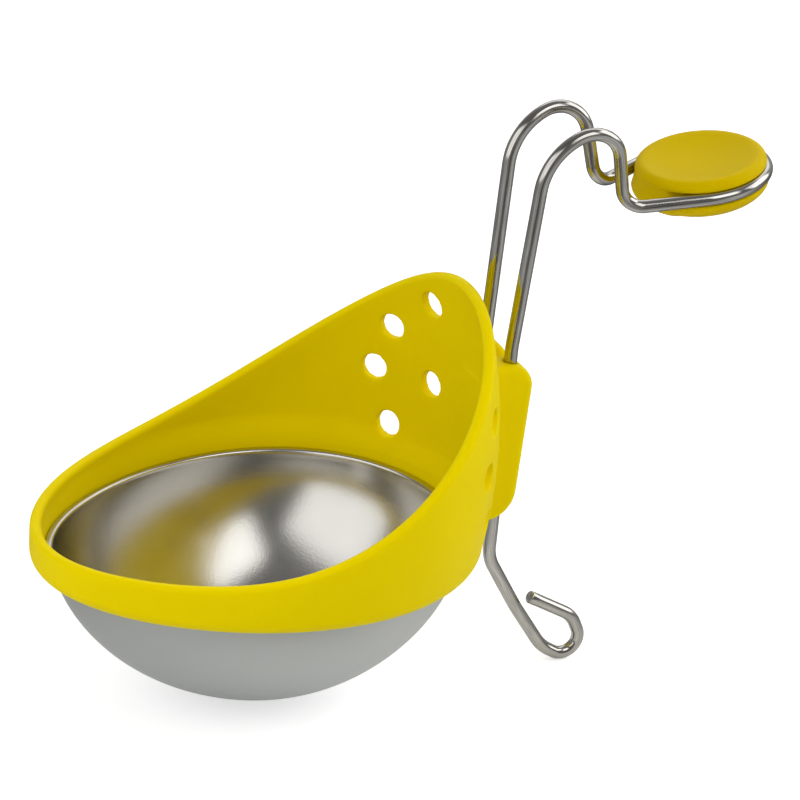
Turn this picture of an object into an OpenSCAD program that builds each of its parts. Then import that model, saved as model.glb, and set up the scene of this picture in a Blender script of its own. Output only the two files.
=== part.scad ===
// Hook-on poaching cup: an egg-shaped steel bowl carried in a tall-backed, pierced collar
// that hangs on the rim of a pan from one bent wire with a thumb pad.
//
// Frame: millimetres, +Z up with the bowl rim level, +X from the pouring lip towards the
// wire handle, Y = 0 is the middle plane. The origin is the middle of the hook, on the
// underside of the wire where it rests on the rim of the pan.

/* [Bowl] */
// half length of the bowl rim, lip to handle
bowl_half_len = 47.7; // [44:0.1:52]
// half width of the bowl rim
bowl_half_wid = 40.9; // [38:0.1:45]
// how much wider the handle end is than the lip end
egg = 0.144; // [0:0.01:0.2]
// depth of the bowl below its rim
bowl_depth = 39; // [30:0.5:44]
// thickness of the bowl sheet
sheet = 0.8; // [0.6:0.1:1.2]
// width of the flat flange round the rim
flange_w = 1.3; // [1:0.1:2]
// squareness of the bowl section from rim to base
belly = 1.74; // [1.5:0.02:2.4]

/* [Collar] */
// rim height of the collar above the bowl rim at the handle end
rim_back = 54.0; // [45:0.5:58]
// rim height an eighth of the way round from the handle
rim_back_quarter = 36.0; // [30:0.5:40]
// rim height at the sides
rim_side = 12.5; // [10:0.5:16]
// rim height near the lip
rim_front_quarter = 7.0; // [6:0.25:9]
// rim height at the lip
rim_front = 5.7; // [5:0.1:8]
// distance from the bowl rim to the outside of the collar
collar_out = 3.5; // [3.2:0.1:4.2]
// outward swell of the back wall at half height
swell = 3.0; // [0:0.1:4]
// inward lean of the back wall, millimetre per millimetre of height
lean_back = 0.022; // [0:0.001:0.024]
// inward lean of the low front wall, millimetre per millimetre of height
lean_front = 0.022; // [0:0.001:0.03]
// wall thickness of the collar
wall = 2.1; // [1.8:0.1:2.4]
// thickness of the rounded rim bead
bead = 2.7; // [2.3:0.1:3]
// how far the collar reaches down the bowl below the rim
skirt = 3.7; // [3:0.1:5]
// radius of the drain holes
drain_r = 3.0; // [2:0.1:3.4]

/* [Wire sockets] */
// width of each of the two sockets on the back of the collar
socket_w = 7.4; // [6:0.1:8]
// height of the socket tops above the bowl rim
socket_top = 36.9; // [34:0.1:38]
// distance of the socket outer face from the bowl centre
socket_x = 62.0; // [60.5:0.1:63]

/* [Wire] */
// diameter of the wire
wire_d = 3.0; // [2.6:0.1:3.2]
// half spacing of the legs where they enter the collar
leg_y = 6.6; // [5.8:0.1:7]
// half spacing of the legs at the top of the hook
hook_y = 9.2; // [8.5:0.1:9.6]
// bend radius of the loop round the thumb pad
loop_r = 14.6; // [14.3:0.1:14.9]

/* [Thumb pad] */
// radius of the upper disc of the pad
pad_r = 14.9; // [14.4:0.1:15.4]
// depth of the dish in the top of the pad
pad_dish = 1.7; // [0.5:0.1:2.2]
// depth of the dome under the pad
pad_dome = 6.7; // [5:0.1:8]

/* [Hidden] */
$fn = 40;

// All parts are laid out from the centre of the bowl rim, then moved by -hook_at.
hook_at = [72.4, 0, 88.3];
n_around = 72;                  // steps round the egg plan
fit_gap = 0.08;                 // running gap between wire and moulded parts
seat_gap = 0.2;                 // gap between bowl flange and collar
wire_r = wire_d / 2;

steel = [0.74, 0.74, 0.72];
yellow = [0.84, 0.77, 0.02];

// ---------------------------------------------------------------- shared helpers
function unit(v) = v / norm(v);
function clamp01(v) = min(1, max(0, v));
function smooth(v) = let(t = clamp01(v)) t * t * (3 - 2 * t);

// points of an arc in steps equal steps
function arc(cx, cy, radius, from, to, steps) =
    [for (i = [0:steps])
        let(a = from + (to - from) * i / steps)
        [cx + radius * cos(a), cy + radius * sin(a)]];

// triangles joining section i to section k, each of m points; a closed section wraps round
function band(i, k, m, closed = true) =
    [for (j = [0:m - (closed ? 1 : 2)])
        let(l = (j + 1) % m)
        each [[i * m + j, k * m + j, k * m + l], [i * m + j, k * m + l, i * m + l]]];

// ---------------------------------------------------------------- egg plan
function egg_point(a, half_len, half_wid) =
    [half_len * cos(a), half_wid * sin(a) * (1 + egg * cos(a))];
function egg_normal(a) =
    unit([bowl_half_wid * (cos(a) + egg * cos(2 * a)), bowl_half_len * sin(a)]);

// plan point p moved out by d along the egg normal, at height z
function moved_out(p, a, d, z) = let(q = p + d * egg_normal(a)) [q[0], q[1], z];
// point d outside the bowl rim, at height z
function rim_point(a, d, z) = moved_out(egg_point(a, bowl_half_len, bowl_half_wid), a, d, z);

// ---------------------------------------------------------------- bowl
// the wall of the bowl is a family of egg outlines shrinking with depth
body_half_len = bowl_half_len - 0.96;
body_half_wid = bowl_half_wid - 0.82;
depth_power = 1.76;             // exponent on depth in the bowl section

// point d outside the bowl body, at height z
function body_point(a, z, d) =
    let(s = pow(max(0, 1 - pow(clamp01(-z / bowl_depth), depth_power)), 1 / belly))
    moved_out(egg_point(a, body_half_len * s, body_half_wid * s), a, d, z);

// point on a bowl surface, t from 0 at the rim to 90 at the base
function section_point(a, t, half_len, half_wid, depth) =
    let(s = pow(cos(t), 2 / belly), p = egg_point(a, half_len * s, half_wid * s))
    [p[0], p[1], -depth * pow(sin(t), 2 / depth_power)];

inner_steps = [80, 70, 60, 50, 41, 32, 24, 16, 9, 4];
outer_steps = [9, 16, 24, 32, 41, 50, 60, 70, 80];

// bowl section from the inside base, over the flange, to the outside base
function bowl_section(a) = concat(
    [for (t = inner_steps)
        section_point(a, t, bowl_half_len - flange_w, bowl_half_wid - flange_w,
            bowl_depth - sheet)],
    [
        rim_point(a, -flange_w, -0.12),
        rim_point(a, -flange_w + 0.15, 0),
        rim_point(a, -0.25, 0),
        rim_point(a, 0, -0.25),
        rim_point(a, 0, -sheet + 0.2),
        rim_point(a, -0.2, -sheet),
        body_point(a, -sheet - 0.02, 0)
    ],
    [for (t = outer_steps) section_point(a, t, body_half_len, body_half_wid, bowl_depth)]);

// skin round open sections, closed by a pole point at each end
module pole_skin(sections, first, last) {
    n = len(sections);
    m = len(sections[0]);
    points = concat([for (s = sections) each s], [first, last]);
    faces = [for (i = [0:n - 1])
        let(k = (i + 1) % n)
        each concat(band(i, k, m, closed = false),
            [[n * m, k * m, i * m], [n * m + 1, i * m + m - 1, k * m + m - 1]])];
    polyhedron(points, faces, convexity = 8);
}

module bowl() {
    color(steel) translate(-hook_at)
        pole_skin([for (i = [0:n_around - 1]) bowl_section(i * 360 / n_around)],
            [0, 0, -(bowl_depth - sheet)], [0, 0, -bowl_depth]);
}

// ---------------------------------------------------------------- collar wall
// height of the collar rim round the plan: a cosine series through five heights
rim_heights = [rim_back, rim_back_quarter, rim_side, rim_front_quarter, rim_front];
all_ones = [1, 1, 1, 1, 1];     // a dot product with this sums five terms
function end_weight(j) = (j == 0 || j == 4) ? 0.5 : 1;
rim_series = [for (k = [0:4])
    end_weight(k) * 0.5
        * ([for (j = [0:4]) end_weight(j) * rim_heights[j] * cos(k * j * 45)] * all_ones)];
function rim_height(a) = [for (k = [0:4]) rim_series[k] * cos(k * a)] * all_ones;

// outside and inside of the wall, as distances out from the bowl rim
function wall_out(a, z) =
    let(back = (1 + cos(a)) / 2, rise = clamp01(z / rim_back))
    collar_out - lean_front * z * (1 - back) - lean_back * z * back
        + swell * back * 4 * rise * (1 - rise);

bead_fade = 6.5;                // height over which the bead thins to the wall
function wall_in(a, z) =
    let(h = rim_height(a),
        thick = wall + (bead - wall) * exp(-pow((h - z) / bead_fade, 2)),
        full = max(seat_gap, wall_out(a, z) - thick))
    seat_gap + (full - seat_gap) * smooth((z - 0.3) / (min(h, 9) - 1.5));

bore_gap = 0.1;                 // gap between bowl body and collar
bead_squash = 0.8;              // height of the bead over its width
inside_steps = [0.02, 0.12, 0.28, 0.46, 0.64, 0.82];
outside_steps = [0.82, 0.64, 0.46, 0.28, 0.12, 0];

function collar_section(a) =
    let(r = bead / 2,
        bead_z = rim_height(a) - r * bead_squash,
        bead_mid = wall_out(a, bead_z) - r,
        toe = body_point(a, -skirt, 0.95),
        heel = rim_point(a, wall_out(a, 0), 0))
    concat(
        // bore round the bowl and the ledge under its flange
        [
            body_point(a, -skirt, bore_gap),
            body_point(a, -skirt * 0.62, bore_gap),
            body_point(a, -sheet - 0.55, bore_gap),
            rim_point(a, seat_gap, -sheet - 0.02)
        ],
        // inside of the wall
        [for (f = inside_steps) let(z = 0.1 + f * (bead_z - 0.1)) rim_point(a, wall_in(a, z), z)],
        // rounded rim bead
        [for (b = [180:-30:0])
            rim_point(a, bead_mid + r * cos(b), bead_z + bead_squash * r * sin(b))],
        // outside of the wall
        [for (f = outside_steps) let(z = f * bead_z) rim_point(a, wall_out(a, z), z)],
        // underside turning in to the bowl
        [for (b = [20, 40, 60, 78])
            let(p = toe + (heel - toe) * cos(b))
            [p[0], p[1], -skirt * sin(b)]],
        [body_point(a, -skirt - 0.1, 0.75)]);

module collar_wall() {
    sections = [for (i = [0:n_around - 1]) collar_section(i * 360 / n_around)];
    m = len(sections[0]);
    points = [for (s = sections) each s];
    faces = [for (i = [0:n_around - 1]) each band(i, (i + 1) % n_around, m)];
    polyhedron(points, faces, convexity = 8);
}

// drain holes on each side: [angle round the plan, height above the bowl rim]
drains = [[17.9, 42.5], [32.3, 32.9], [37.4, 21.6], [18.6, 22.0], [31.9, 8.6]];
module drain(a, z) {
    out = egg_normal(a);
    translate(rim_point(a, wall_out(a, z), z))
        rotate([0, 90, atan2(out[1], out[0])])
            cylinder(h = 14, r = drain_r, center = true);
}

// ---------------------------------------------------------------- wire sockets
socket_slope = 5;               // the outer face leans out towards the top
socket_y = leg_y * 1.01;
socket_sink = 1.85;             // how far a socket is sunk into the wall
socket_top_r = 5.6;             // rounding of the outer top corner
socket_base_r = 7.5;            // rounding of the outer bottom corner
socket_base_z = 6.2;            // centre height of the bottom rounding
socket_edge_r = 1.5;            // rounding of the upright outer edges

// side outline: x, z
function socket_side() =
    let(base_x = socket_x - (socket_top - 8.8) * tan(socket_slope))
    concat(
        [for (z = [-0.6, 6, 12, 18, 24, 30, socket_top])
            [bowl_half_len + wall_out(0, z) - socket_sink, z]],
        arc(socket_x - socket_top_r, socket_top - socket_top_r, socket_top_r,
            90, -socket_slope, 9),
        arc(base_x - socket_base_r, socket_base_z, socket_base_r, -socket_slope, -78, 8));

// plan outline, with x = 0 at the outer face
function socket_plan() =
    let(w = socket_w / 2, r = socket_edge_r)
    concat([[-16, -w]], arc(-r, -w + r, r, -90, 0, 5), arc(-r, w - r, r, 0, 90, 5), [[-16, w]]);

module socket(side) {
    intersection() {
        translate([0, side * socket_y + socket_w / 2 + 1, 0]) rotate([90, 0, 0])
            linear_extrude(height = socket_w + 2) polygon(socket_side());
        translate([socket_x + 0.12, side * socket_y, socket_top - socket_top_r])
            rotate([0, socket_slope, 0])
                translate([0, 0, -42]) linear_extrude(height = 60) polygon(socket_plan());
    }
}

// web that ties the two sockets together
module socket_web() {
    translate([bowl_half_len + 3.3, -leg_y, 4.3]) cube([4.3, 2 * leg_y, socket_top - 9.7]);
}

// Each leg is straight through its socket, from the elbow below to a slight bend above.
// The leg on the -Y side is the long one; the one on the +Y side ends in its socket.
knee = [57.64, leg_y * 1.025, 40];
elbow = [55.4, 5.6, -12.8];
short_leg_z = 12;               // height of the end of the short leg
function leg_point(side, z) =
    let(p = elbow + (knee - elbow) * (z - elbow[2]) / (knee[2] - elbow[2]))
    [p[0], side * p[1], z];

// straight bore for a leg, from height z to above the socket
module leg_bore(side, z) {
    start = leg_point(side, z);
    step = leg_point(side, z + 1) - start;
    translate(start) rotate([0, acos(step[2] / norm(step)), atan2(step[1], step[0])])
        cylinder(h = (socket_top + 0.9 - z) * norm(step), r = wire_r + fit_gap);
}

module collar() {
    color(yellow) translate(-hook_at) difference() {
        union() {
            collar_wall();
            for (side = [-1, 1]) socket(side);
            socket_web();
        }
        for (d = drains, side = [-1, 1]) drain(side * d[0], d[1]);
        leg_bore(-1, -7);
        leg_bore(1, short_leg_z - 0.05);
    }
}

// ---------------------------------------------------------------- wire path
// arc of points that rounds a corner of a path
function corner(before, tip, after, radius) =
    let(u = unit(before - tip), v = unit(after - tip),
        angle = acos(min(1, max(-1, u * v))),
        centre = tip + unit(u + v) * (radius / sin(angle / 2)),
        reach = radius / tan(angle / 2),
        p = unit(tip + u * reach - centre),
        q = unit(tip + v * reach - centre),
        turn = 180 - angle,
        n = max(2, ceil(turn / 11)))
    [for (i = [0:n])
        centre + radius * (p * sin(turn * (1 - i / n)) + q * sin(turn * i / n)) / sin(turn)];

// path through corner points, with one bend radius for each inner corner
function rounded(corners, radii) = concat(
    [corners[0]],
    [for (i = [1:len(corners) - 2])
        each corner(corners[i - 1], corners[i], corners[i + 1], radii[i - 1])],
    [corners[len(corners) - 1]]);

// loop plane: rises gently away from the cup
loop_centre = [105.6, 0, 73.85];
loop_tilt = 8.6;
loop_steps = 26;
loop_x = [cos(loop_tilt), 0, sin(loop_tilt)];
function loop_point(a, side) =
    loop_centre + loop_r * (cos(a) * loop_x + side * sin(a) * [0, 1, 0]);

// foot of the drop from the hook, in the loop plane
drop_x = 82.9;
drop_at = [drop_x, 7.2, loop_centre[2] + (drop_x - loop_centre[0]) * tan(loop_tilt)];
// where the straight from the drop meets the loop, as an angle round the loop
drop_in_loop = [(drop_at - loop_centre) * loop_x, drop_at[1]];
join_angle = atan2(drop_in_loop[1], drop_in_loop[0]) - acos(loop_r / norm(drop_in_loop));

// corners of one side, from the knee over the hook to the loop
function upper_corners(side) = concat(
    [for (p = [knee, [62.44, hook_y - 0.4, 85.7], [78.8, hook_y, 93.25], drop_at])
        [p[0], side * p[1], p[2]]],
    [loop_point(join_angle, side)]);
upper_radii = [16, 14.2, 7.6, 4.9];

// open curl at the end of the long leg, below the collar: x, z
curl = [[66.4, -24.8], [77.6, -31.5], [84.3, -47.2], [70.1, -38.2], [62.9, -26.7]];
// bend radii at the last four curl points and the elbow
lower_radii = [7.3, 4.0, 10.9, 63, 10.4];

long_path = rounded(
    concat([for (c = curl) [c[0], -elbow[1], c[1]]], [leg_point(-1, elbow[2])],
        upper_corners(-1)),
    concat(lower_radii, upper_radii));
short_path = rounded(concat([leg_point(1, short_leg_z)], upper_corners(1)), upper_radii);
wire_path = concat(
    long_path,
    [for (i = [1:loop_steps - 1]) loop_point(join_angle * (1 - 2 * i / loop_steps), -1)],
    [for (i = [len(short_path) - 1:-1:0]) short_path[i]]);

// ---------------------------------------------------------------- wire
wire_sides = 18;
// unit tangents, and normals carried along the path without twist
function tangents(path) =
    let(n = len(path))
    [for (i = [0:n - 1]) unit(path[min(n - 1, i + 1)] - path[max(0, i - 1)])];
function across(v, t) = unit(v - t * (v * t));
function normals(along) =
    let(n = len(along))
    [for (i = 0, v = across([0.1, 1, 0.2], along[0]);
        i < n;
        i = i + 1, v = i < n ? across(v, along[i]) : v) v];

// round wire along a path, with flat ends
module wire_along(path, radius) {
    n = len(path);
    m = wire_sides;
    along = tangents(path);
    normal = normals(along);
    points = [for (i = [0:n - 1], j = [0:m - 1])
        let(a = 360 * j / m)
        path[i] + radius * (cos(a) * normal[i] + sin(a) * cross(along[i], normal[i]))];
    faces = concat(
        [for (i = [0:n - 2]) each band(i, i + 1, m)],
        [[for (j = [0:m - 1]) j], [for (j = [m - 1:-1:0]) (n - 1) * m + j]]);
    polyhedron(points, faces, convexity = 10);
}

module handle_wire() {
    color(steel) translate(-hook_at) wire_along(wire_path, wire_r);
}

// ---------------------------------------------------------------- thumb pad
// half section: dished top, rounded upper edge, groove for the wire loop, domed underside
function pad_section() =
    let(edge_z = 2.45, edge_r = 1.5,
        edge_x = pad_r - edge_r,
        dish_r = edge_x - 0.9,
        groove_r = wire_r + fit_gap,
        dome_r = pad_r + 0.25,
        dome_z = -groove_r - 0.35,
        dome_h = pad_dome - 0.9)
    concat(
        [for (i = [0:9])
            let(x = dish_r * i / 10)
            [x, edge_z + edge_r * 0.95 - pad_dish * (1 - pow(x / dish_r, 2))]],
        [for (b = [100, 85, 70, 55, 40, 25, 10, 0])
            [edge_x + edge_r * cos(b), edge_z + edge_r * sin(b)]],
        [[pad_r, groove_r + 0.25], [pad_r - 0.2, groove_r]],
        [for (b = [90:15:270]) [loop_r + groove_r * cos(b), groove_r * sin(b)]],
        [[dome_r - 0.25, -groove_r], [dome_r, dome_z]],
        [for (b = [9:9:81]) [dome_r * cos(b), dome_z - dome_h * sin(b)]],
        [[0, dome_z - dome_h]]);

module thumb_pad() {
    color(yellow) translate(-hook_at + loop_centre) rotate([0, -loop_tilt, 0])
        rotate_extrude($fn = 64) polygon(pad_section());
}

bowl();
collar();
handle_wire();
thumb_pad();
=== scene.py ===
# An egg-shaped steel cup in a yellow silicone collar, held by a bent wire handle with a thumb pad.
# The design is in millimetres from the centre of the bowl rim: +x to the handle, +z up, and the
# camera on the -y side. Meshes are moved to the frame's origin at the hook seat, in metres.
import math

import bmesh
import bpy
import numpy as np
from mathutils import Matrix, Vector


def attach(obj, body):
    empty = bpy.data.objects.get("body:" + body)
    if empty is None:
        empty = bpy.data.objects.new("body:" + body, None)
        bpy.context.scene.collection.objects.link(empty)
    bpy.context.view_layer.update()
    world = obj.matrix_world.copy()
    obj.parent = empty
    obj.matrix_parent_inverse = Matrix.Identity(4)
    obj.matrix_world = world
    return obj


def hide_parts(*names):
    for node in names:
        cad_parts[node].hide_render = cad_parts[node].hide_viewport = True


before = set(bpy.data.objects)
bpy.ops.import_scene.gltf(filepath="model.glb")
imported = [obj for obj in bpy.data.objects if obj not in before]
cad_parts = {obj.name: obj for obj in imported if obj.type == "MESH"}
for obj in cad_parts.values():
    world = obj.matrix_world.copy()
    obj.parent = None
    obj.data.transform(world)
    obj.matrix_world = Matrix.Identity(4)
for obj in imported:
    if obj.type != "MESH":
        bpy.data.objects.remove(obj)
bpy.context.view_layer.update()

HOOK_SEAT = np.array([72.4, 0.0, 88.3])
MM = 0.001

# Bowl. The plan is an egg, blunter towards +x; the side profile is a superellipse.
HALF_LEN, HALF_WID, EGG = 47.7, 40.9, 0.144
DEPTH, SHEET, FLANGE = 39.0, 0.8, 1.3
BELLY, DEEP = 1.74, 1.76            # profile exponents, across and down
BODY_LEN, BODY_WID = HALF_LEN - 0.96, HALF_WID - 0.82   # half sizes of the body under the flange

# Collar
RIM_HEIGHTS = [54.0, 36.0, 12.5, 7.0, 5.7]      # at every 45 degrees, from the handle side round
WALL, BEAD = 2.1, 2.7               # thickness of the wall and of its rounded top
SKIRT = 3.7                         # reach below the bowl rim
COLLAR_OUT, SWELL, LEAN = 3.5, 3.0, 0.022       # outer face: offset at foot, bulge, inward slope
FOOT_OUT = 0.25                     # inner face at the foot, out from the bowl rim
DRAINS = [[17.9, 42.5], [32.3, 32.9], [37.4, 21.6], [18.6, 22.0], [31.9, 8.6]]  # degrees, height
DRAIN_R = 3.0

# Wire, its two upright legs and the sockets that grip them
WIRE_R = 1.5
LEG_Y, HOOK_Y = 6.6, 9.2
KNEE = np.array([57.64, LEG_Y * 1.025, 40.0])
ELBOW = np.array([55.4, 5.6, -12.8])
FAR_LEG_Z = 12.0                    # end of the +y leg, inside its socket
SOCKET_W, SOCKET_TOP, SOCKET_X, SLOPE = 7.4, 36.9, 62.0, 5.0
SOCKET_Y = LEG_Y * 1.01
# strut below the -y leg, from its free end up: x, z, bend radius
CURL = [(66.4, -24.8, 0), (77.6, -31.5, 7.3), (84.3, -47.2, 4.0), (70.1, -38.2, 10.9),
        (62.9, -26.7, 63)]
ELBOW_BEND = 10.4
HOOK_BENDS = [16, 14.2, 7.6, 4.9]   # knee, rise, crest, drop
BEND_STEP = 4.0                     # degrees between stations in a bend
STATION_GAP = 2.5                   # between stations on a straight
END_EDGE = [(0.0, 0.3), (0.12, 0.1), (0.3, 0.0)]    # wire end: distance in, cut off the radius

# Tilted wire loop that carries the thumb pad
LOOP_R = 14.6
LOOP_C = np.array([105.6, 0, 73.85])
TILT = math.radians(8.6)
LOOP_X = np.array([math.cos(TILT), 0, math.sin(TILT)])
LOOP_Y = np.array([0, 1, 0])
LOOP_UP = np.array([-math.sin(TILT), 0, math.cos(TILT)])
DROP_X = 82.9
DROP = np.array([DROP_X, 7.2, LOOP_C[2] + (DROP_X - LOOP_C[0]) * math.tan(TILT)])

PAD_R, PAD_DISH, PAD_DOME = 14.9, 1.9, 5.8


# ------------------------------------------------------------------ shared geometry
def unit(v):
    return v / np.linalg.norm(v)


def clamp01(v):
    return min(1.0, max(0.0, v))


def smooth01(v):
    t = clamp01(v)
    return t * t * (3 - 2 * t)


def egg(angle, half_len, half_wid):
    return np.array([half_len * math.cos(angle),
                     half_wid * math.sin(angle) * (1 + EGG * math.cos(angle))])


def egg_normal(angle):
    return unit(np.array([HALF_WID * (math.cos(angle) + EGG * math.cos(2 * angle)),
                          HALF_LEN * math.sin(angle)]))


def rim_pt(angle, out, z):
    """Point at a distance out from the bowl rim."""
    p = egg(angle, HALF_LEN, HALF_WID) + egg_normal(angle) * out
    return [p[0], p[1], z]


def body_pt(angle, z, out):
    """Point at a distance out from the outside of the bowl, at height z."""
    s = (1 - (-z / DEPTH) ** DEEP) ** (1 / BELLY)
    p = egg(angle, BODY_LEN * s, BODY_WID * s) + egg_normal(angle) * out
    return [p[0], p[1], z]


def leg_line(side, z):
    """Point at height z on the wire leg of one side (-1 or 1 in y)."""
    k = (z - ELBOW[2]) / (KNEE[2] - ELBOW[2])
    p = ELBOW + (KNEE - ELBOW) * k
    return np.array([p[0], side * p[1], z])


def loop_pt(angle, radius=LOOP_R, height=0.0):
    """Point about the loop centre, in the tilted frame of the loop."""
    return (LOOP_C + radius * (math.cos(angle) * LOOP_X + math.sin(angle) * LOOP_Y)
            + height * LOOP_UP)


# ------------------------------------------------------------------ mesh helpers
def shade_smooth(mesh):
    mesh.polygons.foreach_set("use_smooth", [True] * len(mesh.polygons))


def new_object(name, verts, faces, smooth=True):
    mesh = bpy.data.meshes.new(name)
    mesh.from_pydata([tuple(v) for v in verts], [], faces)
    mesh.update()
    if smooth:
        shade_smooth(mesh)
    obj = bpy.data.objects.new(name, mesh)
    bpy.context.scene.collection.objects.link(obj)
    return obj


def solid(name, points, faces, smooth=True):
    """Closed object from points in millimetres, with its faces turned outwards."""
    metres = (np.asarray(points, float).reshape(-1, 3) - HOOK_SEAT) * MM
    obj = new_object(name, metres, faces, smooth)
    bm = bmesh.new()
    bm.from_mesh(obj.data)
    bmesh.ops.recalc_face_normals(bm, faces=bm.faces)
    bm.to_mesh(obj.data)
    bm.free()
    obj.data.update()
    return obj


def revolve(name, rings, poles=None):
    """Skin a closed round of equal sections. A section is closed, or open and ends at two poles."""
    n, m = len(rings), len(rings[0])
    verts = [p for ring in rings for p in ring]
    faces = []
    for i in range(n):
        k = (i + 1) % n
        for j in range(m - 1 if poles else m):
            l = (j + 1) % m
            faces.append((i * m + j, k * m + j, k * m + l, i * m + l))
    if poles:
        verts += poles
        for i in range(n):
            k = (i + 1) % n
            faces.append((n * m, k * m, i * m))
            faces.append((n * m + 1, i * m + m - 1, k * m + m - 1))
    return solid(name, verts, faces)


def capped_faces(count, m):
    """Faces of a bar made of count rings of m points, with its two end caps last."""
    faces = []
    for i in range(count - 1):
        for j in range(m):
            l = (j + 1) % m
            faces.append((i * m + j, i * m + l, (i + 1) * m + l, (i + 1) * m + j))
    return faces + [tuple(range(m - 1, -1, -1)), tuple(range((count - 1) * m, count * m))]


def modify(obj, kind, **settings):
    """Add a modifier and apply it at once."""
    modifier = obj.modifiers.new(kind, kind)
    for key, value in settings.items():
        setattr(modifier, key, value)
    depsgraph = bpy.context.evaluated_depsgraph_get()
    bpy.context.view_layer.update()
    mesh = bpy.data.meshes.new_from_object(obj.evaluated_get(depsgraph), depsgraph=depsgraph)
    obj.modifiers.clear()
    old = obj.data
    obj.data = mesh
    if old.users == 0:
        bpy.data.meshes.remove(old)


def boolean(obj, others, operation):
    for other in others:
        modify(obj, "BOOLEAN", operation=operation, object=other, solver="MANIFOLD")
    for other in others:
        bpy.data.objects.remove(other)


# ------------------------------------------------------------------ bowl
def bowl_mesh(inner_finish, outer_finish):
    n = 288
    slopes_in = np.radians(np.concatenate([np.linspace(88, 12, 52), [9, 6.5, 4.4, 2.8]]))
    slopes_out = np.radians(np.concatenate([[2.5, 5, 8], np.linspace(11, 88, 50)]))
    inset = FLANGE + 0.55
    turn_r = 0.75       # where the bowl turns out into its flange
    edge_r = 0.38       # outer edge of the flange
    rings = []
    for i in range(n):
        a = 2 * math.pi * i / n
        ring = []
        for t in slopes_in:
            s = math.cos(t) ** (2 / BELLY)
            z = -(DEPTH - SHEET) * math.sin(t) ** (2 / DEEP)
            p = egg(a, (HALF_LEN - inset) * s, (HALF_WID - inset) * s)
            ring.append([p[0], p[1], z - 0.02])
        for deg in (165, 150, 135, 120, 105, 93):
            b = math.radians(deg)
            ring.append(rim_pt(a, -inset + turn_r + turn_r * math.cos(b),
                               -turn_r + turn_r * math.sin(b)))
        for out in (-0.9, -0.6, -0.4):
            ring.append(rim_pt(a, out, 0.0))
        for deg in (90, 60, 30, 0, -30, -60, -90):
            b = math.radians(deg)
            ring.append(rim_pt(a, -edge_r + edge_r * math.cos(b), -0.4 + edge_r * math.sin(b)))
        inner_faces = len(ring)
        ring.append(rim_pt(a, -0.6, -0.8))
        for t in slopes_out:
            ring.append(body_pt(a, -DEPTH * math.sin(t) ** (2 / DEEP), 0))
        rings.append(ring)
    obj = revolve("bowl_shell", rings, poles=[[0, 0, -(DEPTH - SHEET) - 0.02], [0, 0, -DEPTH]])

    # the inside and the flange, round to its underside, take the inner finish
    per_section = len(rings[0]) - 1
    finish = np.ones(len(obj.data.polygons), np.int32)
    for i in range(n):
        finish[i * per_section:i * per_section + inner_faces] = 0
    body = n * per_section
    finish[body:body + 2 * n:2] = 0
    obj.data.materials.append(inner_finish)
    obj.data.materials.append(outer_finish)
    obj.data.polygons.foreach_set("material_index", finish)
    return obj


# ------------------------------------------------------------------ collar
# Cosine series through the five rim heights
END_WEIGHTS = [0.5, 1, 1, 1, 0.5]
RIM_SERIES = [END_WEIGHTS[k] * 0.5 * sum(END_WEIGHTS[j] * RIM_HEIGHTS[j] * math.cos(k * j * math.pi / 4)
                                         for j in range(5))
              for k in range(5)]


def rim_height(angle):
    return sum(RIM_SERIES[k] * math.cos(k * angle) for k in range(5))


def wall_out(angle, z):
    """Outer face of the collar, out from the bowl rim; it bulges most on the handle side."""
    handle_side, q = (1 + math.cos(angle)) / 2, clamp01(z / RIM_HEIGHTS[0])
    return COLLAR_OUT - LEAN * z + SWELL * handle_side * 4 * q * (1 - q)


def wall_in(angle, z):
    """Inner face of the collar: starts at the bowl rim and eases out to the wall thickness."""
    height = rim_height(angle)
    thick = WALL + (BEAD - WALL) * math.exp(-((height - z) / 6.5) ** 2)
    full = max(FOOT_OUT, wall_out(angle, z) - thick)
    return FOOT_OUT + (full - FOOT_OUT) * smooth01((z - 0.3) / (min(height, 9) - 1.5))


def collar_section(a):
    gap, skirt_out = 0.15, 0.95     # inner and outer face of the skirt, out from the bowl
    bead_r = BEAD / 2
    bead_z = rim_height(a) - bead_r * 0.8
    bead_out = wall_out(a, bead_z) - bead_r
    # inside of the skirt, up round the flange
    section = [body_pt(a, -SKIRT * k, gap) for k in (1, 0.8, 0.6, 0.4)]
    section += [rim_pt(a, -0.55, -SHEET - 0.3), rim_pt(a, 0.1, -SHEET - 0.12),
                rim_pt(a, FOOT_OUT, -SHEET + 0.2)]
    # up the inner face, over the bead and down the outer face
    for k in np.linspace(0.0, 0.93, 22):
        z = 0.1 + k * (bead_z - 0.1)
        section.append(rim_pt(a, wall_in(a, z), z))
    for b in np.radians(np.linspace(180, 0, 15)):
        section.append(rim_pt(a, bead_out + bead_r * math.cos(b),
                              bead_z + 0.8 * bead_r * math.sin(b)))
    for k in np.linspace(0.93, 0.0, 22):
        section.append(rim_pt(a, wall_out(a, k * bead_z), k * bead_z))
    # rounded outside of the skirt
    low, high = np.array(body_pt(a, -SKIRT, skirt_out)), np.array(rim_pt(a, wall_out(a, 0), 0))
    for b in np.radians([10, 20, 30, 40, 50, 60, 70, 78, 85]):
        p = low + (high - low) * math.cos(b)
        section.append([p[0], p[1], -SKIRT * math.sin(b)])
    section.append(body_pt(a, -SKIRT - 0.1, 0.7))
    return section


def rod(start, end, radius, sides=48):
    """Closed straight rod between two points, for cutting."""
    start, end = np.asarray(start, float), np.asarray(end, float)
    t = unit(end - start)
    u = unit(np.cross(t, [0.3, 0.2, 1.0] if abs(t[2]) < 0.9 else [1.0, 0.1, 0.0]))
    v = np.cross(t, u)
    verts = []
    for p in (start, end):
        for j in range(sides):
            q = 2 * math.pi * j / sides
            verts.append(p + radius * (math.cos(q) * u + math.sin(q) * v))
    return solid("cut", verts, capped_faces(2, sides), smooth=False)


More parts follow.
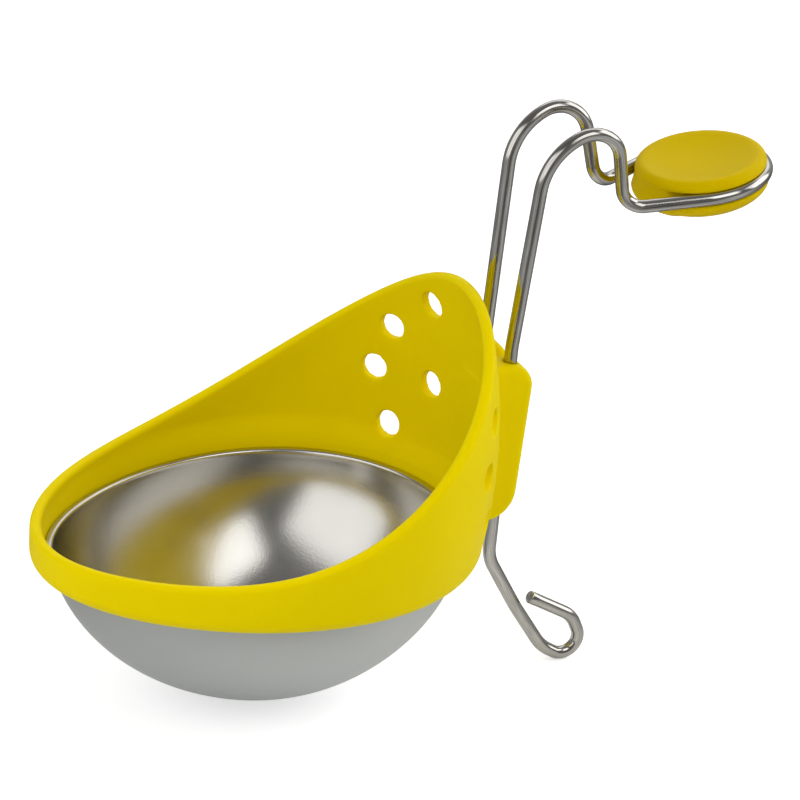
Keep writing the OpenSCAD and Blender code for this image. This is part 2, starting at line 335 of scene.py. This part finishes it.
def arc(cx, cz, r, start, end, n):
    return [[cx + r * math.cos(b), cz + r * math.sin(b)]
            for b in np.radians(np.linspace(start, end, n + 1))]


def socket(side):
    """Block that grips one wire leg: an x-z outline drawn across in y, with rounded long edges."""
    edge, top_r, low_r = 1.35, 5.6, 7.5
    low_x = SOCKET_X - (SOCKET_TOP - 8.8) * math.tan(math.radians(SLOPE))
    outline = [[HALF_LEN + wall_out(0, z) - 1.85, z] for z in (-0.6, 6, 12, 18, 24, 30, SOCKET_TOP)]
    outline += arc(SOCKET_X - top_r, SOCKET_TOP - top_r, top_r, 90, -SLOPE, 14)
    outline += arc(low_x - low_r, 6.2, low_r, -SLOPE, -78, 12)
    outline = np.array(outline)
    # outward normals of the outline, to draw it in at the rounded edges
    along = np.roll(outline, -1, 0) - np.roll(outline, 1, 0)
    normal = np.stack([along[:, 1], -along[:, 0]], 1)
    normal /= np.linalg.norm(normal, axis=1)[:, None]
    flip = np.sign(((outline - outline.mean(0)) * normal).sum(1))[:, None]
    normal *= np.where(flip == 0, 1, flip)
    verts = []
    for end, start_deg in ((-1, -90), (1, 0)):
        for b in np.radians(np.linspace(start_deg, start_deg + 90, 7)):
            y = end * (SOCKET_W / 2 - edge) + edge * math.sin(b)
            for p in outline - normal * edge * (1 - math.cos(b)):
                verts.append([p[0], side * SOCKET_Y + y, p[1]])
    faces = capped_faces(14, len(outline))
    faces[-2:] = [cap[::-1] for cap in faces[-2:]]      # this outline runs the other way round
    return solid("socket", verts, faces, smooth=False)


def block(low, high):
    verts = [[x, y, z] for x in (low[0], high[0]) for y in (low[1], high[1])
             for z in (low[2], high[2])]
    faces = [(0, 1, 3, 2), (4, 6, 7, 5), (0, 4, 5, 1), (2, 3, 7, 6), (0, 2, 6, 4), (1, 5, 7, 3)]
    return solid("block", verts, faces, smooth=False)


def collar_mesh(finish):
    n = 360
    obj = revolve("collar_shell", [collar_section(2 * math.pi * i / n) for i in range(n)])
    # the block fills the space between the two sockets
    boolean(obj, [socket(-1), socket(1),
                  block([HALF_LEN + 3.3, -LEG_Y, 4.3],
                        [HALF_LEN + 7.6, LEG_Y, SOCKET_TOP - 5.3])], "UNION")
    cuts = []
    for degrees, z in DRAINS:
        for side in (-1, 1):
            a = math.radians(side * degrees)
            centre, reach = np.array(rim_pt(a, wall_out(a, z), z)), np.array([*egg_normal(a), 0]) * 7
            cuts.append(rod(centre - reach, centre + reach, DRAIN_R + 0.05))
    for side, low in ((-1, -8), (1, FAR_LEG_Z)):
        cuts.append(rod(leg_line(side, low), leg_line(side, 45), WIRE_R + 0.04))
    boolean(obj, cuts, "DIFFERENCE")
    # blend the joined parts and soften their edges
    modify(obj, "REMESH", mode="VOXEL", voxel_size=0.00034, use_smooth_shade=True)
    modify(obj, "SMOOTH", factor=0.5, iterations=7)
    shade_smooth(obj.data)
    obj.data.materials.clear()
    obj.data.materials.append(finish)
    return obj


# ------------------------------------------------------------------ wire
def bend(before, at, after, radius):
    """Stations on the arc that rounds one corner."""
    u, v = unit(before - at), unit(after - at)
    phi = math.acos(max(-1, min(1, float(u @ v))))
    centre = at + unit(u + v) * (radius / math.sin(phi / 2))
    start = unit(at + u * radius / math.tan(phi / 2) - centre)
    end = unit(at + v * radius / math.tan(phi / 2) - centre)
    sweep = math.pi - phi
    n = max(3, math.ceil(math.degrees(sweep) / BEND_STEP))
    return [centre + radius * (start * math.sin(sweep * (1 - i / n)) + end * math.sin(sweep * i / n))
            / math.sin(sweep) for i in range(n + 1)]


def rounded_run(points, radii):
    """Polyline with its inner corners rounded; radii belong to the inner corners."""
    out = [points[0]]
    for i, radius in enumerate(radii, 1):
        out += bend(points[i - 1], points[i], points[i + 1], radius)
    return out + [points[-1]]


def wire_path():
    # angle on the loop where the straight from the drop touches it
    drop_x, drop_y = float((DROP - LOOP_C) @ LOOP_X), DROP[1]
    touch = math.atan2(drop_y, drop_x) - math.acos(LOOP_R / math.hypot(drop_x, drop_y))

    def upper(side):
        mirror = np.array([1, side, 1])
        return [KNEE * mirror, np.array([62.44, side * (HOOK_Y - 0.4), 85.7]),
                np.array([78.8, side * HOOK_Y, 93.25]), DROP * mirror, loop_pt(side * touch)]

    strut = [np.array([x, -ELBOW[1], z]) for x, z, _ in CURL] + [leg_line(-1, ELBOW[2])]
    strut_bends = [radius for _, _, radius in CURL[1:]] + [ELBOW_BEND]
    near = rounded_run(strut + upper(-1), strut_bends + HOOK_BENDS)
    far = rounded_run([leg_line(1, FAR_LEG_Z)] + upper(1), HOOK_BENDS)
    k = 64
    loop = [loop_pt(-touch * (1 - 2 * i / k)) for i in range(1, k)]
    raw = np.array(near + loop + far[::-1])
    # long straights get stations too, so the surface grain keeps its scale
    out = [raw[0]]
    for p in raw[1:]:
        gap = np.linalg.norm(p - out[-1])
        if gap < 1e-4:
            continue
        for i in range(1, int(gap // STATION_GAP) + 1):
            if i * STATION_GAP < gap - 0.4:
                out.append(out[-1] + unit(p - out[-1]) * STATION_GAP)
        out.append(p)
    return np.array(out)


def wire_mesh(finish):
    path, m = wire_path(), 36
    n = len(path)
    tangents = np.array([unit(path[min(n - 1, i + 1)] - path[max(0, i - 1)]) for i in range(n)])
    first = np.array([0.1, 1, 0.2])
    sides = [unit(first - tangents[0] * (first @ tangents[0]))]
    for t in tangents[1:]:
        sides.append(unit(sides[-1] - t * (sides[-1] @ t)))
    steps = np.linalg.norm(np.diff(path, axis=0), axis=1)
    travel = np.concatenate([[0], np.cumsum(steps)])
    # sheared ends with a small broken edge
    stations = [(path[0] + tangents[0] * d, 0, WIRE_R - cut) for d, cut in END_EDGE]
    stations += [(path[i], i, WIRE_R) for i in range(1, n - 1)]
    stations += [(path[-1] - tangents[-1] * d, n - 1, WIRE_R - cut) for d, cut in END_EDGE[::-1]]
    verts, draw = [], []
    for p, i, r in stations:
        for j in range(m):
            a = 2 * math.pi * j / m
            c, s = math.cos(a), math.sin(a)
            verts.append(p + r * (c * sides[i] + s * np.cross(tangents[i], sides[i])))
            draw.append([c * WIRE_R, s * WIRE_R, travel[i]])
    obj = solid("wire_bent", verts, capped_faces(len(stations), m))
    obj.data.set_sharp_from_angle(angle=math.radians(50))
    # place in the straightened wire, in millimetres, for the drawn grain
    attribute = obj.data.attributes.new("draw", "FLOAT_VECTOR", "POINT")
    attribute.data.foreach_set("vector", np.array(draw, np.float32).ravel())
    obj.data.materials.append(finish)
    return obj


# ------------------------------------------------------------------ thumb pad
def pad_mesh(finish):
    """Round pad over the loop: dished top, groove for the wire, domed underside."""
    n = 192
    edge_r, edge_z = 1.95, 2.02     # rounded top edge
    edge_x = PAD_R - edge_r
    dish_x = edge_x - 0.9
    groove = WIRE_R + 0.03
    low_x, low_z = PAD_R + 0.25, -(WIRE_R + 0.08) - 0.35    # top of the dome

    def dish(x):
        return edge_z + edge_r * 0.95 - PAD_DISH * (1 - (x / dish_x) ** 2) - 0.05

    # outer side, from the lip through the groove to the dome: radius, height
    side = [[PAD_R, groove + 0.42], [PAD_R - 0.03, groove + 0.28],
            [PAD_R - 0.12, groove + 0.14], [PAD_R - 0.3, groove]]
    side += arc(LOOP_R, 0, groove, 95, 265, 18)
    side += [[low_x - 0.45, -groove], [low_x - 0.2, -groove - 0.08],
             [low_x - 0.05, -groove - 0.2], [low_x, low_z]]
    rings = []
    for i in range(n):
        a = 2 * math.pi * i / n
        # the groove closes on the cup side, between the two straights
        shut = 1 - smooth01((abs(math.degrees(a) - 180) - 30) / 12)
        section = [[x, dish(x)] for x in np.linspace(0.12, dish_x, 30)]
        section += arc(edge_x, edge_z, edge_r, 112, 0, 11)
        for x, z in side:
            fill = PAD_R - 0.14 + 0.34 * (groove - z)
            section.append([x + (max(x, fill) - x) * shut, z])
        for b in np.radians(np.linspace(4, 88, 26)):
            section.append([(low_x + 0.78 * shut) * math.cos(b), low_z - PAD_DOME * math.sin(b)])
        rings.append([loop_pt(a, x, z) for x, z in section])
    obj = revolve("pad_moulded", rings,
                  poles=[loop_pt(0, 0, dish(0)), loop_pt(0, 0, low_z - PAD_DOME)])
    obj.data.materials.append(finish)
    return obj


# ------------------------------------------------------------------ shader helpers
def feed(tree, node, inputs):
    """Link each socket given, and set each plain value."""
    for key, value in inputs.items():
        if isinstance(value, bpy.types.NodeSocket):
            tree.links.new(value, node.inputs[key])
        else:
            node.inputs[key].default_value = value


def add(tree, kind, inputs=None, **settings):
    node = tree.nodes.new("ShaderNode" + kind)
    for key, value in settings.items():
        setattr(node, key, value)
    feed(tree, node, inputs or {})
    return node


def find(tree, kind):
    return next(node for node in tree.nodes if node.type == kind)


def material(name):
    mat = bpy.data.materials.new(name)
    mat.use_nodes = True
    return mat, mat.node_tree, find(mat.node_tree, "BSDF_PRINCIPLED")


def noise(tree, vector, scale, detail, rough=0.55):
    return add(tree, "TexNoise", {"Scale": scale, "Detail": detail, "Roughness": rough,
                                  "Vector": vector}).outputs["Fac"]


def spread(tree, value, to=(0, 1), source=(0.3, 0.7), **settings):
    """Map a value from the source range to another range."""
    return add(tree, "MapRange", {"From Min": source[0], "From Max": source[1], "To Min": to[0],
                                  "To Max": to[1], "Value": value}, **settings).outputs["Result"]


def mix(tree, factor, first, second):
    return add(tree, "Mix", {"A": (*first, 1), "B": (*second, 1), "Factor": factor},
               data_type="RGBA").outputs["Result"]


def bump(tree, height, strength, distance, normal=None):
    inputs = {"Strength": strength, "Distance": distance, "Height": height}
    if normal:
        inputs["Normal"] = normal
    return add(tree, "Bump", inputs).outputs["Normal"]


def calc(tree, operation, *values):
    return add(tree, "Math", dict(enumerate(values)), operation=operation).outputs["Value"]


def dot(tree, vector, direction):
    return add(tree, "VectorMath", {0: vector, 1: direction},
               operation="DOT_PRODUCT").outputs["Value"]


def scaled(tree, vector, factor):
    return add(tree, "VectorMath", {0: vector, "Scale": factor},
               operation="SCALE").outputs["Vector"]


def grey_ramp(tree, factor, stops, interpolation="LINEAR"):
    """Grey level along a factor; the stops run from position 0 to 1."""
    node = add(tree, "ValToRGB", {"Fac": factor})
    node.color_ramp.interpolation = interpolation
    elements = node.color_ramp.elements
    for element, (position, level) in ((elements[0], stops[0]), (elements[1], stops[-1])):
        element.position, element.color = position, (level, level, level, 1)
    for position, level in stops[1:-1]:
        elements.new(position).color = (level, level, level, 1)
    return node.outputs["Color"]


# ------------------------------------------------------------------ materials
def steel(name, dark, light, roughness, grain, grain_scale):
    """Pressed sheet with a fine satin grain, cloudy finish and faint wear."""
    mat, tree, bsdf = material(name)
    place = add(tree, "TexCoord").outputs["Object"]
    cloud = noise(tree, place, scale=55, detail=3, rough=0.5)
    fine = noise(tree, place, scale=grain_scale, detail=2, rough=0.7)
    satin = bump(tree, fine, strength=grain, distance=0.00004)
    wear = noise(tree, place, scale=200, detail=2, rough=0.5)
    feed(tree, bsdf, {
        "Metallic": 1.0,
        "Base Color": mix(tree, spread(tree, cloud), dark, light),
        "Roughness": spread(tree, cloud, to=roughness),
        "Normal": bump(tree, wear, strength=0.05, distance=0.00006, normal=satin)})
    return mat


def moulded(name, deep, lit):
    """Semi-matte moulded silicone: very fine spark texture, soft colour drift, slight sheen."""
    mat, tree, bsdf = material(name)
    place = add(tree, "TexCoord").outputs["Object"]
    drift = noise(tree, place, scale=28, detail=2, rough=0.5)
    patches = noise(tree, place, scale=120, detail=3, rough=0.6)
    spark = noise(tree, place, scale=2600, detail=2, rough=0.6)
    feed(tree, bsdf, {
        "Base Color": mix(tree, spread(tree, drift), deep, lit),
        "Roughness": spread(tree, patches, to=(0.42, 0.52)),
        "Specular IOR Level": 0.05,
        "Specular Tint": (1.0, 0.78, 0.02, 1),
        "Subsurface Weight": 0.30,
        "Subsurface Radius": (1.0, 0.7, 0.08),
        "Subsurface Scale": 0.0018,
        "Normal": bump(tree, spark, strength=0.10, distance=0.00002)})
    return mat


def wire_steel(name):
    """Drawn wire: bright, with fine lines along its length and a faint cross scuffing."""
    mat, tree, bsdf = material(name)
    draw = add(tree, "Attribute", attribute_name="draw").outputs["Vector"]
    # squeezing the length draws the noise out into lines
    stretched = add(tree, "VectorMath", {0: draw, 1: (1.0, 1.0, 0.02)},
                    operation="MULTIPLY").outputs["Vector"]
    lines = noise(tree, stretched, scale=7.0, detail=3, rough=0.6)
    cross = noise(tree, draw, scale=1.6, detail=3, rough=0.6)
    scuffs = noise(tree, draw, scale=4.5, detail=2, rough=0.5)
    line_relief = bump(tree, lines, strength=0.30, distance=0.00003)
    feed(tree, bsdf, {
        "Metallic": 1.0,
        "Base Color": mix(tree, spread(tree, lines, source=(0.40, 0.60)),
                          (0.38, 0.365, 0.335), (0.60, 0.585, 0.55)),
        "Roughness": spread(tree, cross, to=(0.08, 0.15)),
        "Normal": bump(tree, scuffs, strength=0.08, distance=0.00003, normal=line_relief)})
    return mat


# ------------------------------------------------------------------ build
inner_steel = steel("steel_inner", dark=(0.51, 0.495, 0.462), light=(0.58, 0.566, 0.535),
                    roughness=(0.19, 0.24), grain=0.42, grain_scale=1500)
outer_steel = steel("steel_outer", dark=(0.57, 0.585, 0.575), light=(0.595, 0.61, 0.60),
                    roughness=(0.48, 0.55), grain=0.22, grain_scale=2300)
# The pad has the same yellow silicone as the collar in a darker base colour: painted shade on the pad.
yellow_collar = moulded("silicone_collar", deep=(0.87, 0.685, 0.0), lit=(0.915, 0.725, 0.0))
shaded_yellow_pad = moulded("silicone_pad_painted_shade", deep=(0.66, 0.47, 0.0), lit=(0.71, 0.51, 0.0))
drawn_steel = wire_steel("steel_wire")

bowl = bowl_mesh(inner_steel, outer_steel)
collar = collar_mesh(yellow_collar)
wire = wire_mesh(drawn_steel)
pad = pad_mesh(shaded_yellow_pad)

# piece, body it moves with, CAD node it replaces, material slot, material of the CAD node
PIECES = [(bowl, "cup", "bowl", "bowl_steel", outer_steel),
          (collar, "holder", "collar", "collar_yellow", yellow_collar),
          (wire, "holder", "handle_wire", "wire_steel", drawn_steel),
          (pad, "holder", "thumb_pad", "pad_yellow", shaded_yellow_pad)]
for piece, body, node, slot, _ in PIECES:
    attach(piece, body)
    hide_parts(node)
for _, _, node, _, finish in PIECES:
    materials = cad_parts[node].data.materials
    materials.clear()
    materials.append(finish)

# ------------------------------------------------------------------ view directions
HEADING, PITCH, ROLL = 0.42399810, 0.43797881, 0.0469559    # camera angles, radians
forward = np.array([math.sin(HEADING) * math.cos(PITCH), math.cos(HEADING) * math.cos(PITCH),
                    -math.sin(PITCH)])
level_right = np.array([math.cos(HEADING), -math.sin(HEADING), 0])
to_camera = -unit(np.array([forward[0], forward[1], 0]))     # level


# ------------------------------------------------------------------ floor
# The cup stands on the base of its bowl and on the curl of the strut, so the floor leans a little
# under a level rim.
def coords(obj):
    co = np.zeros(len(obj.data.vertices) * 3)
    obj.data.vertices.foreach_get("co", co)
    return co.reshape(-1, 3)


def resting_plane():
    """Slope and height of the plane that touches both the bowl and the wire."""
    bowl_co, wire_co = coords(bowl), coords(wire)
    low, high = 0.0, 0.1
    for _ in range(40):
        slope = (low + high) / 2
        bowl_low = (bowl_co[:, 2] + slope * bowl_co[:, 0]).min()
        wire_low = (wire_co[:, 2] + slope * wire_co[:, 0]).min()
        if wire_low < bowl_low:
            low = slope
        else:
            high = slope
    return slope, min(bowl_low, wire_low) - 0.00005


# Light the metal mirrors from the far floor with a painted glow, bright and dark by direction, that
# only reflections see: degrees round from the camera side, level
FLOOR_GLOW = [(-180, 0.15), (-140, 0.18), (-110, 0.32), (-86, 0.28), (-60, 0.42), (-38, 0.50),
              (-18, 0.42), (2, 0.10), (18, 0.10), (38, 0.32), (56, 0.55), (80, 0.62),
              (100, 0.40), (125, 0.12), (180, 0.15)]
GLOW_CENTRE = (-0.052, 0, 0)
GLOW_REACH = (0.055, 0.115)     # distance over which near floor turns to far floor
# NEAR_GLOW is a faint painted glow of the near floor, seen only in the metal's reflections
SEEN_GLOW, NEAR_GLOW = 0.56, 0.10


def floor_paper():
    mat, tree, bsdf = material("floor_paper")
    place = add(tree, "NewGeometry").outputs["Position"]
    tone = mix(tree, spread(tree, noise(tree, place, scale=3.0, detail=2), source=(0.35, 0.65)),
               (0.80, 0.80, 0.795), (0.82, 0.82, 0.815))
    grain = noise(tree, place, scale=900, detail=2)
    feed(tree, bsdf, {"Roughness": 0.9, "Specular IOR Level": 0.1,
                      "Normal": bump(tree, grain, strength=0.05, distance=0.0001)})

    # in the metal's reflections the sheet is lit round the cup, with a faint painted glow added, and
    # beyond it turns into a painted glow that falls off, most of all towards the camera; the metal
    # mirrors that
    shift = add(tree, "VectorMath", {0: place, 1: GLOW_CENTRE},
                operation="SUBTRACT").outputs["Vector"]
    right = dot(tree, shift, (math.cos(HEADING), -math.sin(HEADING), 0))
    near = dot(tree, shift, (-math.sin(HEADING), -math.cos(HEADING), 0))
    angle = calc(tree, "ARCTAN2", right, near)
    turn = calc(tree, "ADD", calc(tree, "DIVIDE", angle, 2 * math.pi), 0.5)
    reach = calc(tree, "SQRT", calc(tree, "ADD", calc(tree, "MULTIPLY", right, right),
                                    calc(tree, "MULTIPLY", near, near)))
    glow = grey_ramp(tree, turn, [(0.5 + deg / 360, level) for deg, level in FLOOR_GLOW],
                     interpolation="B_SPLINE")
    outside = spread(tree, reach, source=GLOW_REACH)
    rays = add(tree, "LightPath").outputs
    # glossy rays see the far floor's colour swapped for its painted glow
    mirrored = calc(tree, "MULTIPLY", rays["Is Glossy Ray"], outside)
    feed(tree, bsdf, {"Base Color": scaled(tree, tone, calc(tree, "SUBTRACT", 1.0, mirrored))})
    # seen directly, the paper is a little brighter than the light it throws back on the metal
    seen = calc(tree, "MULTIPLY", rays["Is Camera Ray"], SEEN_GLOW)
    close = calc(tree, "MULTIPLY", calc(tree, "SUBTRACT", rays["Is Glossy Ray"], mirrored),
                 NEAR_GLOW)
    far = calc(tree, "MULTIPLY", mirrored, glow)
    feed(tree, bsdf, {
        "Emission Color": (1, 1, 1, 1),
        "Emission Strength": calc(tree, "ADD", calc(tree, "ADD", seen, close), far)})
    return mat


def floor_mesh():
    n, half = 24, 12.0
    slope, level = resting_plane()
    verts, faces = [], []
    for i in range(n + 1):
        for j in range(n + 1):
            x, y = -half + 2 * half * i / n, -half + 2 * half * j / n
            verts.append((x, y, level - slope * x))
    for i in range(n):
        for j in range(n):
            k = i * (n + 1) + j
            faces.append((k, k + n + 1, k + n + 2, k + 1))
    obj = new_object("floor", verts, faces)
    obj.data.materials.append(floor_paper())
    return obj


floor = floor_mesh()


# ------------------------------------------------------------------ camera
def add_camera():
    # the rim centre as the camera has it: to its right, above its axis and ahead, in millimetres
    rim_right, rim_up, rim_ahead = -32.4099, -29.3103, 901.116
    level_up = np.array([math.sin(HEADING) * math.sin(PITCH), math.cos(HEADING) * math.sin(PITCH),
                         math.cos(PITCH)])
    r = level_right * math.cos(ROLL) + level_up * math.sin(ROLL)
    u = -level_right * math.sin(ROLL) + level_up * math.cos(ROLL)
    f = forward
    place = (-(rim_right * r + rim_up * u + rim_ahead * f) - HOOK_SEAT) * MM
    data = bpy.data.cameras.new("camera")
    cam = bpy.data.objects.new("camera", data)
    bpy.context.scene.collection.objects.link(cam)
    data.sensor_width = 36.0
    data.lens = 181.959255
    data.clip_start, data.clip_end = 0.01, 100
    cam.matrix_world = Matrix(((r[0], u[0], -f[0], place[0]), (r[1], u[1], -f[1], place[1]),
                               (r[2], u[2], -f[2], place[2]), (0, 0, 0, 1)))
    bpy.context.scene.camera = cam


add_camera()

# ------------------------------------------------------------------ light
LIGHT_TARGET = np.array([-45.0, 0, -90.0]) * MM
SOFT_EDGE = 0.2         # share of a softbox over which each edge fades


def softbox(name, direction, distance, size, watts):
    """Area light facing the object, in a direction given as right, up and towards the camera."""
    d = unit(direction[0] * level_right + direction[1] * np.array([0, 0, 1.0])
             + direction[2] * to_camera)
    data = bpy.data.lights.new(name, "AREA")
    data.shape, data.energy = "RECTANGLE", watts
    data.size, data.size_y = size
    # the cloth of the box is brighter in the middle than at its frame
    data.use_nodes = True
    tree = data.node_tree
    across = add(tree, "SeparateXYZ",
                 {"Vector": add(tree, "NewGeometry").outputs["Parametric"]})
    fades = []
    for axis in ("X", "Y"):
        off = calc(tree, "ABSOLUTE", calc(tree, "SUBTRACT", across.outputs[axis], 0.5))
        fades.append(spread(tree, off, to=(1.0, 0.0), source=(0.5 - SOFT_EDGE, 0.5),
                            interpolation_type="SMOOTHSTEP"))
    feed(tree, find(tree, "EMISSION"), {"Strength": calc(tree, "MULTIPLY", *fades)})
    obj = bpy.data.objects.new(name, data)
    bpy.context.scene.collection.objects.link(obj)
    obj.location = Vector(LIGHT_TARGET + d * distance)
    obj.rotation_mode = "QUATERNION"
    obj.rotation_quaternion = Vector(-d).to_track_quat("-Z", "Y")


softbox("key_left", (-0.640, 0.530, 0.556), distance=0.42, size=(0.72, 0.42), watts=1.26)
softbox("key_right", (0.473, 0.743, 0.473), distance=0.42, size=(0.33, 0.29), watts=0.56)
softbox("side_right", (0.837, 0.500, -0.224), distance=1.1, size=(1.0, 1.0), watts=6.6)
softbox("back", (0.15, 0.85, -1.0), distance=1.3, size=(1.6, 0.9), watts=4.8)

# ------------------------------------------------------------------ world
# Room light by the upward part of the direction: ramp position, level
ROOM_LEVELS = [(0.0, 0.22), (0.12, 0.24), (0.42, 0.17), (0.62, 0.16), (0.85, 0.20), (1.0, 0.24)]
ROOM_STRENGTH, MATT_EXTRA = 0.85, 0.62
BEHIND_GAIN = 2.2       # the room is brighter behind the object than on the camera side


def studio():
    world = bpy.data.worlds.new("studio")
    bpy.context.scene.world = world
    world.use_nodes = True
    tree = world.node_tree
    tree.nodes.clear()
    out = add(tree, "OutputWorld")
    seen = add(tree, "Background", {"Color": (0.97, 0.97, 0.97, 1), "Strength": 1.0})
    lit = add(tree, "Background", {"Strength": ROOM_STRENGTH})
    direction = add(tree, "TexCoord").outputs["Generated"]
    up = add(tree, "SeparateXYZ", {"Vector": direction}).outputs["Z"]
    room = grey_ramp(tree, up, ROOM_LEVELS)
    gain = spread(tree, dot(tree, direction, tuple(to_camera)), to=(BEHIND_GAIN, 1.0),
                  source=(-0.9, 0.1), interpolation_type="SMOOTHSTEP")
    rays = add(tree, "LightPath").outputs
    # the room fills in the matt surfaces a little more than the metal shows it
    strength = calc(tree, "MULTIPLY_ADD", rays["Is Diffuse Ray"], MATT_EXTRA, ROOM_STRENGTH)
    feed(tree, lit, {"Color": scaled(tree, room, gain), "Strength": strength})
    shader = add(tree, "MixShader", {"Fac": rays["Is Camera Ray"], 1: lit.outputs["Background"],
                                     2: seen.outputs["Background"]})
    feed(tree, out, {"Surface": shader.outputs["Shader"]})


studio()

bpy.context.scene.view_settings.view_transform = "Standard"
bpy.context.scene.view_settings.look = "None"
